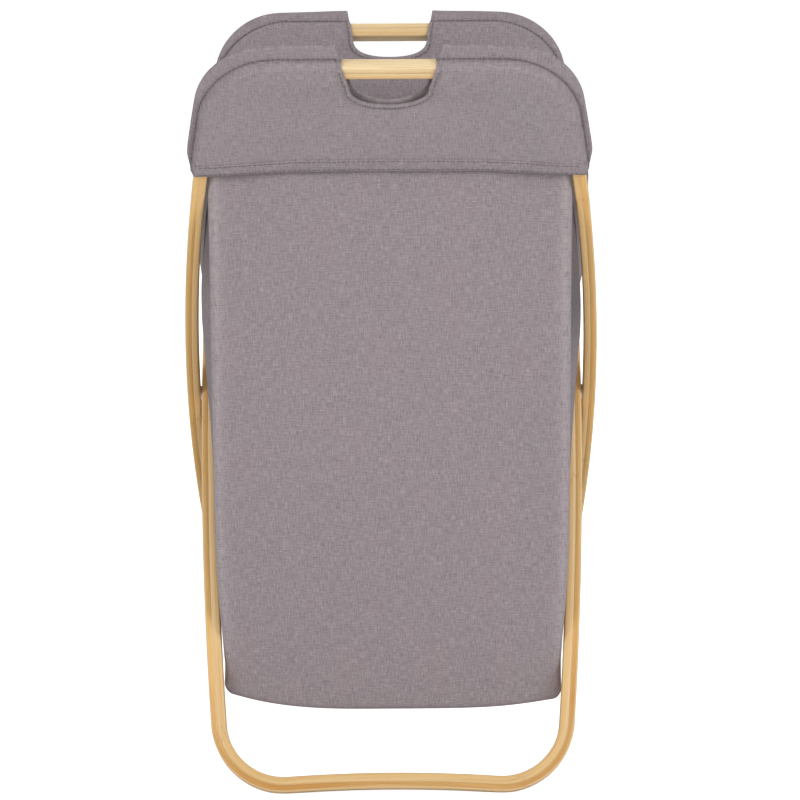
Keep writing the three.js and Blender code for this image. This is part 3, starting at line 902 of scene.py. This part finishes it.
def makeFlapStitches(end, loop, thread):
    bm = bmesh.new()
    place = bm.verts.layers.float_vector.new("clothPlace")
    onCloth = flapSizes["cloth"] / 2 + stitchSizes["radius"] * 0.4
    for side in (1, -1):
        # along the seam, then round the cut-out
        edge = cutoutPoints(end + sideWord[side], stitchSizes["pastCut"], topReach - 0.001)
        for line, lift in ((seamLine(end, loop), 0.0005), (edge, flapSizes["bindingLift"])):
            for mirror in (1, -1):
                points = [onLayer(loop, mirror * p.x, p.y, side, onCloth + lift) for p in line]
                addStitchRow(bm, points, [Vector((0, 0, side))] * len(points), place)
    # two rows on the hem band
    span, lift = stitchSizes["hemSpan"], 2 * flapSizes["bandLift"] + onCloth * 0.8
    for share in stitchSizes["hemRows"]:
        xs = [span * i / 60 for i in range(-60, 61)]
        points = [onLayer(loop, x, hemLine(x) + share * bandHeight(x), 1, lift) for x in xs]
        addStitchRow(bm, points, [Vector((0, 0, 1))] * len(points), place)
    name = end + "FlapStitches"
    return finishPiece(bm, name, thread, loop["body"], flapMatrix(loop), flip=False)


# The bag: one sewn shell, open at the top.

bagSizes = dict(
    halfDepth=0.1215, topHeight=0.5765, gussetTop=0.5635, gussetDip=0.010, cell=0.0085,
    frontWidth=0.1614, backWidth=0.1578, lowWidth=0.1562, lowSwell=0.0012,
    floor=0.0645, floorRise=dict(left=0.0115, right=0.0070), floorRiseAt=0.141, floorSag=0.0026,
    topBulge=dict(left=0.0213, right=0.0235), seamTuck=0.0045, legGap=0.0022,
    cornerRound=0.0050, bottomRound=0.0075, edgeRidge=0.0012, cloth=0.0012,
    foldedShare=0.19, foldedRise=0.0295, foldedLean=radians(5),
    wallFolds=(0.0018, 0.0007), panelFolds=(0.0016, 0.0005), panelBelly=0.0022, paintedLight=0.75,
)
# shade on the side walls: how strong it is, and the two heights it fades in between
bagShade = dict(
    left=(0.58, 0.41, 0.53), right=(0.62, 0.34, 0.46), both=(0.13, 0.10, 0.30),
)


def sideName(sign):
    return "right" if sign > 0 else "left"


def makeBagBlock():
    sizes = bagSizes
    halfX, halfY = sizes["frontWidth"], sizes["halfDepth"]
    low, high = sizes["floor"], sizes["topHeight"]
    bm = bmesh.new()
    spread = Matrix.Diagonal((2 * halfX, 2 * halfY, high - low, 1))
    bmesh.ops.create_cube(bm, size=1, matrix=Matrix.Translation((0, 0, (low + high) / 2)) @ spread)
    top = [face for face in bm.faces if face.normal.z > 0.9]
    bmesh.ops.delete(bm, geom=top, context="FACES_ONLY")
    lowSides = []
    for edge in bm.edges:
        middle = (edge.verts[0].co + edge.verts[1].co) / 2
        if middle.z < low + 1e-4 and abs(middle.y) < 1e-4:
            lowSides.append(edge)
    bmesh.ops.bevel(bm, geom=lowSides, affect="EDGES", offset=sizes["bottomRound"], segments=8,
                    profile=0.5, material=-1)
    # the edges between a panel and a side wall or the floor
    rims = []
    for edge in bm.edges:
        panels = sum(abs(face.normal.y) > 0.99 for face in edge.link_faces)
        if len(edge.link_faces) == 2 and panels == 1:
            rims.append(edge)
    bmesh.ops.bevel(bm, geom=rims, affect="EDGES", offset=sizes["cornerRound"], segments=4,
                    profile=0.5, material=-1)
    for axis, start, end in ((0, -halfX, halfX), (1, -halfY, halfY), (2, low, high)):
        count = int((end - start) / sizes["cell"])
        normal = tuple(1.0 if k == axis else 0.0 for k in range(3))
        for i in range(1, count):
            level = start + (end - start) * i / count
            point = tuple(level if k == axis else 0.0 for k in range(3))
            bmesh.ops.bisect_plane(bm, geom=bm.verts[:] + bm.edges[:] + bm.faces[:], dist=1e-4,
                                   plane_co=point, plane_no=normal)
    return bm


# How far the side wall stands from the middle, at depth y and height z, on one side.
def gussetWidth(y, z, base, sign):
    rise = z - pivot.z
    depth = bagSizes["halfDepth"]
    share = min(max((y + depth) / (2 * depth), 0), 1)
    belly = sin(pi * share) ** 0.8
    amount = mix(0, bagSizes["topBulge"][sideName(sign)], smoothStep(-0.16, 0.20, rise)) * belly
    tuck = exp(-((share - 0.075) / 0.045) ** 2) + exp(-((share - 0.925) / 0.045) ** 2)
    amount -= bagSizes["seamTuck"] * tuck * smoothStep(-0.25, 0.10, rise)
    broad, narrow = bagSizes["wallFolds"]
    folds = noise.noise(Vector((y * 24, z * 3.2, 5.0 * sign))) * broad * belly
    folds += noise.noise(Vector((y * 60, z * 9, 9.0 * sign))) * narrow * belly
    width = base + amount + folds
    # pressed in where the legs pass, both open and folded flat
    legHalf = halfStrip + 0.0010
    folded = (rise + bagSizes["foldedRise"], bagSizes["foldedLean"], bagSizes["foldedShare"])
    for height, angle, spread in ((rise, lean, 1.0), folded):
        for loop in loops.values():
            leg = -height * tan(angle) * loop["tilt"] / spread
            reach = abs(height) / cos(angle)
            if reach < 0.35:
                limit = legInside(loop, reach) - bagSizes["legGap"]
                nearLeg = exp(-(max(abs(y - leg) - legHalf / spread, 0) / 0.010) ** 2)
                width -= max(width - limit, 0) * nearLeg
    return width


def shapeBag(bm):
    sizes = bagSizes
    halfX, halfY = sizes["frontWidth"], sizes["halfDepth"]
    place = bm.verts.layers.float_vector.new("clothPlace")
    shade = bm.verts.layers.float.new("foldShade")
    light = bm.verts.layers.float.new("paintedLight")
    for vert in bm.verts:
        x, y, z = vert.co
        sign = 1 if x > 0 else -1
        sideShare = min(abs(x) / halfX, 1)
        depthShare = abs(y) / halfY
        # each face has its own stretch of cloth
        onFloor = z <= sizes["floor"] + 0.001
        across = x if depthShare > 0.96 or onFloor else y + 0.7 * sign
        vert[place] = (across, y - 0.3 if onFloor else z, 0)
        onWall = smoothStep(0.95, 0.985, sideShare) * (1 - smoothStep(0.955, 0.975, depthShare))
        nearFold = 1 - smoothStep(0.55, 0.85, 1 - depthShare)
        darkness = [most * smoothStep(start, full, z) for most, start, full in
                    (bagShade[sideName(sign)], bagShade["both"])]
        vert[shade] = onWall * nearFold * max(darkness)
        # painted highlight along the front and back panels' rounded side edges
        onPanel = smoothStep(0.94, 0.99, depthShare)
        byEdge = smoothStep(halfX - 0.0115, halfX - 0.0045, abs(x))
        vert[light] = sizes["paintedLight"] * onPanel * byEdge * smoothStep(0.08, 0.16, z)
        # top edge: panels tuck up into the flaps, the side walls stop lower and dip
        dip = sizes["gussetDip"] * (1 - min(depthShare, 1) ** 2)
        edge = mix(sizes["gussetTop"] - dip, sizes["topHeight"], smoothStep(0.90, 1.0, depthShare))
        lowered = sizes["topHeight"] - edge
        z -= lowered * smoothStep(0.35, sizes["topHeight"], z)
        # width: straight from the hem down, then drawn in towards the floor of the bag
        frontness = (halfY - y) / (2 * halfY)
        wide = mix(sizes["backWidth"], sizes["frontWidth"], frontness)
        wide += sizes["lowSwell"] * smoothStep(0.50, 0.30, z)
        wide = mix(sizes["lowWidth"], wide, smoothStep(0.075, 0.235, z))
        cornerIn = halfX - abs(x)
        base = wide - cornerIn * wide / halfX
        if sideShare > 0.90:
            full = gussetWidth(y, z, base, sign)
            base = mix(base, full, smoothStep(0.93, 0.985, sideShare))
        # front and back panels: faint belly, soft folds low down
        faceShare = smoothStep(0.90, 1.0, depthShare)
        broad, narrow = sizes["panelFolds"]
        wave = noise.noise(Vector((x * 9, z * 5, 2.0 if y < 0 else 8.0))) * broad
        wave += noise.noise(Vector((x * 28, z * 11, 4.0 if y < 0 else 9.0))) * narrow
        belly = sizes["panelBelly"] * sin(pi * min(max((z - 0.07) / 0.49, 0), 1)) * (1 - sideShare ** 2)
        hemCalm = 1 - smoothStep(0.53, 0.57, z)
        ridge = sizes["edgeRidge"] * exp(-((halfX - abs(x) - 0.0065) / 0.0035) ** 2)
        y += (1 if y > 0 else -1) * faceShare * ((wave + belly) * hemCalm + ridge)
        # floor of the bag sags towards its middle
        if z < 0.14:
            lowShare = 1 - smoothStep(sizes["floor"], 0.12, z)
            rise = sizes["floorRise"][sideName(sign)]
            z += lowShare * (rise * (abs(x) / sizes["floorRiseAt"]) ** 3.4 - sizes["floorSag"])
        vert.co = (sign * base, y, z)


def makeBag(cloth):
    sizes = bagSizes
    bm = makeBagBlock()
    shapeBag(bm)
    for face in bm.faces:
        outward = face.calc_center_median() - Vector((0, 0, 0.32))
        if face.normal.dot(outward) < 0:
            face.normal_flip()
    bag = finishPiece(bm, "bagShell", cloth, "bag", flip=True)
    addSolidify(bag, sizes["cloth"])
    addSubdivision(bag)
    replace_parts(bag, "bag_front_panel", "bag_back_panel", "bag_right_gusset", "bag_left_gusset",
                "bag_base_panel")
    return bag


# Everything is put together here.

makeCamera()
for name, settings in lights.items():
    addAreaLight(name, *settings)
makeWorld()
makeFloor()
print("studio made")

weave = makeWeaveGroup()
clothMaterial = makeClothMaterial("mauveLinen", weave)
trimMaterial = makeClothMaterial("mauveLinenTrim", weave, 1.1)
threadMaterial = makePlainMaterial("sewingThread", (0.15, 0.125, 0.136, 1), 0.0, 0.7, 0.85, 900, 0.0001)
bambooMaterial = makeBambooMaterial(makeFibreGroup())
steelMaterial = makePlainMaterial("zincSteel", (0.62, 0.62, 0.61, 1), 1.0, 0.28, 0.42, 700, 0.00004)
nylonMaterial = makePlainMaterial("washerNylon", (0.82, 0.81, 0.77, 1), 0.0, 0.45, 0.6, 400, 0.00004)
print("materials made")

for key in loops:
    loops[key]["topCorner"] = topCorner(loops[key], 0, topReach, loopSizes["cornerRadius"])
    makeLoop(key, bambooMaterial)
print("loops made")

for side in ("right", "left"):
    for kind in ("screw", "sleeve_nut"):
        makeFastener(side, kind, steelMaterial)
    washer = frame["nodes"][side + "_pivot_washer"]
    washer.data.materials.clear()
    washer.data.materials.append(nylonMaterial)
print("pivots made")

for end, loop in (("front", loops["outer"]), ("rear", loops["inner"])):
    outerLayer = makeFlapLayer(end, loop, 1, clothMaterial)
    innerLayer = makeFlapLayer(end, loop, -1, clothMaterial)
    band = makeHemBand(end, loop, trimMaterial)
    outerBinding = makeBinding(end, loop, 1, trimMaterial)
    innerBinding = makeBinding(end, loop, -1, trimMaterial)
    stitches = makeFlapStitches(end, loop, threadMaterial)
print("flaps made")

bag = makeBag(clothMaterial)
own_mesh(bag)
print("bag made")
